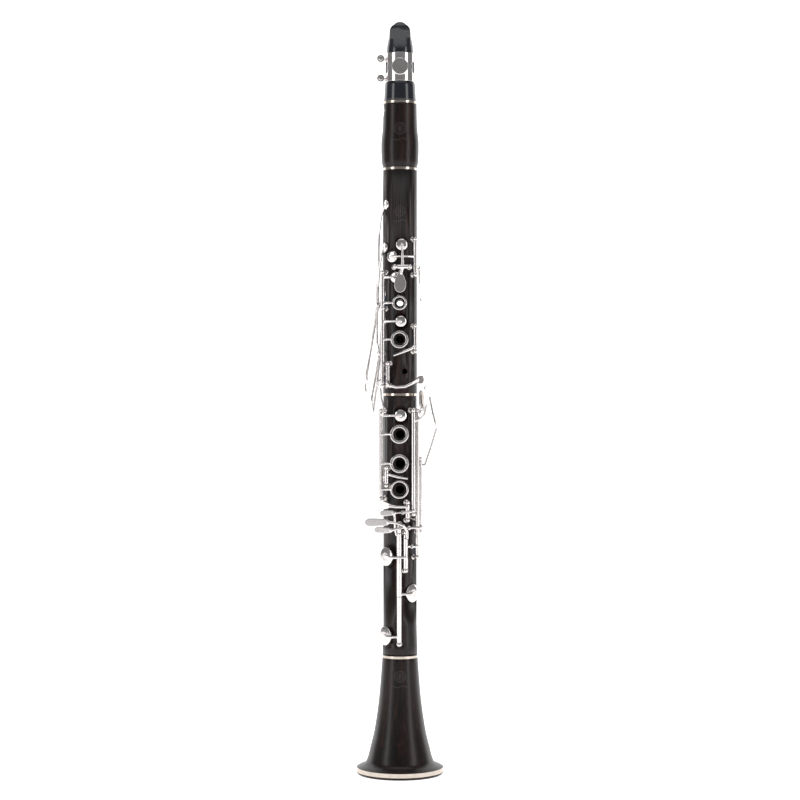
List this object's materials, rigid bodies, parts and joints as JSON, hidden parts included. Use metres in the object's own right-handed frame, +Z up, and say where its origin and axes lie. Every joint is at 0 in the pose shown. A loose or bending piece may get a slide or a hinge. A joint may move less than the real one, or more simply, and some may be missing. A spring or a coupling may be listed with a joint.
{
  "type": "clarinet",
  "caption": "Straight wooden clarinet with flared bell, ringed barrel, keyed upper and lower joints, ligature and mouthpiece, standing on its bell.",
  "frame": {"origin": "centre of the bell mouth, on the plane of its rim", "axes": "+Z up the bore towards the mouthpiece tip; -Y is the front, where the tone holes for the fingers are; +X is the right seen from the front"},
  "size_m": [0.08, 0.08, 0.69],
  "materials": {
    "grenadilla": "satin oiled",
    "ebonite": "polished",
    "ring_metal": "polished plate",
    "key_silver": "polished silver plate",
    "rod_steel": "ground",
    "spring_steel": "blued",
    "cork": "sanded",
    "pad": "matte skin",
    "cane": "bare cane"
  },
  "bodies": {
    "bell": {"bell": "grenadilla", "bell_rings": "ring_metal"},
    "lower_joint": {"lower_joint": "grenadilla", "lower_joint_ring": "ring_metal", "lower_joint_cork": "cork", "lower_posts": "key_silver", "lower_hinge_rods": "rod_steel", "lower_springs": "spring_steel", "thumb_rest": "key_silver"},
    "upper_joint": {"upper_joint": "grenadilla", "upper_joint_corks": "cork", "upper_posts": "key_silver", "upper_hinge_rods": "rod_steel", "upper_springs": "spring_steel"},
    "barrel": {"barrel": "grenadilla", "barrel_rings": "ring_metal"},
    "mouthpiece": {"mouthpiece": "ebonite", "mouthpiece_cork": "cork", "reed": "cane", "ligature": "key_silver"},
    "ligature_screw_lower": {"ligature_screw_lower": "key_silver"},
    "ligature_screw_upper": {"ligature_screw_upper": "key_silver"},
    "a_flat_key": {"a_flat_key": "key_silver", "a_flat_pad": "pad"},
    "b_natural_sliver_key": {"b_natural_sliver_key": "key_silver", "b_natural_sliver_pad": "pad"},
    "c_sharp_key": {"c_sharp_key": "key_silver", "c_sharp_pad": "pad"},
    "e_flat_sliver_key": {"e_flat_sliver_key": "key_silver", "e_flat_sliver_pad": "pad"},
    "e_key": {"e_key": "key_silver", "e_pad": "pad"},
    "f_key": {"f_key": "key_silver", "f_pad": "pad"},
    "f_sharp_key": {"f_sharp_key": "key_silver", "f_sharp_pad": "pad"},
    "first_ring_key": {"first_ring_key": "key_silver", "first_ring_pad": "pad"},
    "left_e_lever": {"left_e_lever": "key_silver"},
    "left_f_lever": {"left_f_lever": "key_silver"},
    "left_f_sharp_lever": {"left_f_sharp_lever": "key_silver"},
    "lower_ring_key": {"lower_ring_key": "key_silver", "lower_ring_pad": "pad"},
    "register_key": {"register_key": "key_silver", "register_pad": "pad"},
    "second_ring_key": {"second_ring_key": "key_silver", "second_ring_pad": "pad"},
    "side_key_1": {"side_key_1": "key_silver", "side_key_1_pad": "pad"},
    "side_key_2": {"side_key_2": "key_silver", "side_key_2_pad": "pad"},
    "side_key_3": {"side_key_3": "key_silver", "side_key_3_pad": "pad"},
    "side_key_4": {"side_key_4": "key_silver", "side_key_4_pad": "pad"},
    "throat_a_key": {"throat_a_key": "key_silver", "throat_a_pad": "pad"},
    "throat_g_sharp_key": {"throat_g_sharp_key": "key_silver", "throat_g_sharp_pad": "pad"},
    "thumb_ring_key": {"thumb_ring_key": "key_silver"}
  },
  "joints": [
    {"name": "bell_tenon_slide", "type": "slide", "parent": "bell", "child": "lower_joint", "axis": [0, 0, 1], "range_m": [0, 0.016]},
    {"name": "middle_tenon_slide", "type": "slide", "parent": "lower_joint", "child": "upper_joint", "axis": [0, 0, 1], "range_m": [0, 0.016]},
    {"name": "barrel_tenon_slide", "type": "slide", "parent": "upper_joint", "child": "barrel", "axis": [0, 0, 1], "range_m": [0, 0.016]},
    {"name": "mouthpiece_tenon_slide", "type": "slide", "parent": "barrel", "child": "mouthpiece", "axis": [0, 0, 1], "range_m": [0, 0.014]},
    {"name": "ligature_screw_lower_turn", "type": "hinge", "parent": "mouthpiece", "child": "ligature_screw_lower", "pos_m": [-0.0177, 0.0042, 0.6368], "axis": [0, 1, 0], "continuous": true},
    {"name": "ligature_screw_upper_turn", "type": "hinge", "parent": "mouthpiece", "child": "ligature_screw_upper", "pos_m": [-0.0177, 0.0042, 0.6548], "axis": [0, 1, 0], "continuous": true},
    {"name": "a_flat_key_hinge", "type": "hinge", "parent": "lower_joint", "child": "a_flat_key", "pos_m": [0.00694, -0.01908, 0.2409], "axis": [0, 0, -1], "range_deg": [0, 5], "stiffness_Nm_per_rad": 0.03, "springref_deg": -11.46},
    {"name": "b_natural_sliver_key_hinge", "type": "hinge", "parent": "lower_joint", "child": "b_natural_sliver_key", "pos_m": [-0.01227, -0.01515, 0.2721], "axis": [0, 0, 1], "range_deg": [0, 7.5], "stiffness_Nm_per_rad": 0.03, "springref_deg": -11.46},
    {"name": "c_sharp_key_hinge", "type": "hinge", "parent": "upper_joint", "child": "c_sharp_key", "pos_m": [-0.01107, -0.01641, 0.3653], "axis": [0, 0, 1], "range_deg": [0, 8], "stiffness_Nm_per_rad": 0.03, "springref_deg": -11.46},
    {"name": "e_flat_sliver_key_hinge", "type": "hinge", "parent": "upper_joint", "child": "e_flat_sliver_key", "pos_m": [0.014, -0.014, 0.3979], "axis": [0, 0, -1], "range_deg": [0, 9], "stiffness_Nm_per_rad": 0.03, "springref_deg": -11.46},
    {"name": "e_key_hinge", "type": "hinge", "parent": "lower_joint", "child": "e_key", "pos_m": [-0.00071, -0.02029, 0.17475], "axis": [0, 0, -1], "range_deg": [0, 8], "stiffness_Nm_per_rad": 0.03, "springref_deg": -11.46},
    {"name": "f_key_hinge", "type": "hinge", "parent": "lower_joint", "child": "f_key", "pos_m": [0.00508, -0.01965, 0.20425], "axis": [0, 0, -1], "range_deg": [0, 7], "stiffness_Nm_per_rad": 0.03, "springref_deg": -11.46},
    {"name": "f_sharp_key_hinge", "type": "hinge", "parent": "lower_joint", "child": "f_sharp_key", "pos_m": [-0.00071, -0.02029, 0.17475], "axis": [0, 0, -1], "range_deg": [0, 8], "stiffness_Nm_per_rad": 0.03, "springref_deg": -11.46},
    {"name": "first_ring_key_hinge", "type": "hinge", "parent": "upper_joint", "child": "first_ring_key", "pos_m": [-0.01578, -0.01324, 0.4419], "axis": [0, 0, 1], "range_deg": [0, 6], "stiffness_Nm_per_rad": 0.03, "springref_deg": -11.46},
    {"name": "left_e_lever_hinge", "type": "hinge", "parent": "lower_joint", "child": "left_e_lever", "pos_m": [0.01844, -0.0094, 0.2552], "axis": [0, 0, 1], "range_deg": [0, 5.48]},
    {"name": "left_f_lever_hinge", "type": "hinge", "parent": "lower_joint", "child": "left_f_lever", "pos_m": [0.01574, -0.01344, 0.26575], "axis": [0, 0, 1], "range_deg": [0, 6.51]},
    {"name": "left_f_sharp_lever_hinge", "type": "hinge", "parent": "lower_joint", "child": "left_f_sharp_lever", "pos_m": [0.01217, -0.01675, 0.2853], "axis": [0, 0, 1], "range_deg": [0, 2.55]},
    {"name": "lower_ring_key_hinge", "type": "hinge", "parent": "lower_joint", "child": "lower_ring_key", "pos_m": [-0.01728, -0.01122, 0.2925], "axis": [0, 0, 1], "range_deg": [0, 5.5], "stiffness_Nm_per_rad": 0.03, "springref_deg": -11.46},
    {"name": "register_key_hinge", "type": "hinge", "parent": "upper_joint", "child": "register_key", "pos_m": [0, 0.0202, 0.469], "axis": [-1, 0, 0], "range_deg": [0, 3.4], "stiffness_Nm_per_rad": 0.03, "springref_deg": -11.46},
    {"name": "second_ring_key_hinge", "type": "hinge", "parent": "upper_joint", "child": "second_ring_key", "pos_m": [-0.01578, -0.01324, 0.39015], "axis": [0, 0, 1], "range_deg": [0, 6], "stiffness_Nm_per_rad": 0.03, "springref_deg": -11.46},
    {"name": "side_key_1_hinge", "type": "hinge", "parent": "upper_joint", "child": "side_key_1", "pos_m": [-0.01873, -0.00579, 0.385], "axis": [0.2756, -0.9613, 0], "range_deg": [0, 3.6], "stiffness_Nm_per_rad": 0.03, "springref_deg": -11.46},
    {"name": "side_key_2_hinge", "type": "hinge", "parent": "upper_joint", "child": "side_key_2", "pos_m": [-0.01873, -0.00579, 0.385], "axis": [0.2756, -0.9613, 0], "range_deg": [0, 2.1], "stiffness_Nm_per_rad": 0.03, "springref_deg": -11.46},
    {"name": "side_key_3_hinge", "type": "hinge", "parent": "upper_joint", "child": "side_key_3", "pos_m": [-0.02077, 0.00133, 0.43], "axis": [0.2756, -0.9613, 0], "range_deg": [0, 2.2], "stiffness_Nm_per_rad": 0.03, "springref_deg": -11.46},
    {"name": "side_key_4_hinge", "type": "hinge", "parent": "upper_joint", "child": "side_key_4", "pos_m": [-0.02077, 0.00133, 0.43], "axis": [0.2756, -0.9613, 0], "range_deg": [0, 1.4], "stiffness_Nm_per_rad": 0.03, "springref_deg": -11.46},
    {"name": "throat_a_key_hinge", "type": "hinge", "parent": "upper_joint", "child": "throat_a_key", "pos_m": [0.00235, -0.02238, 0.4628], "axis": [0.9945, 0.1045, 0], "range_deg": [0, 5], "stiffness_Nm_per_rad": 0.03, "springref_deg": -11.46},
    {"name": "throat_g_sharp_key_hinge", "type": "hinge", "parent": "upper_joint", "child": "throat_g_sharp_key", "pos_m": [0.0139, -0.0141, 0.4723], "axis": [0, 0, 1], "range_deg": [0, 4.8], "stiffness_Nm_per_rad": 0.03, "springref_deg": -11.46},
    {"name": "thumb_ring_key_hinge", "type": "hinge", "parent": "upper_joint", "child": "thumb_ring_key", "pos_m": [-0.01219, 0.0156, 0.43], "axis": [0, 0, -1], "range_deg": [0, 6], "stiffness_Nm_per_rad": 0.03, "springref_deg": -11.46}
  ],
  "couplings": [
    {"joint": "left_f_lever_hinge", "follows": "f_key_hinge", "ratio": 0.92785},
    {"joint": "left_e_lever_hinge", "follows": "e_key_hinge", "ratio": 0.68312},
    {"joint": "left_f_sharp_lever_hinge", "follows": "f_sharp_key_hinge", "ratio": 0.31644}
  ]
}
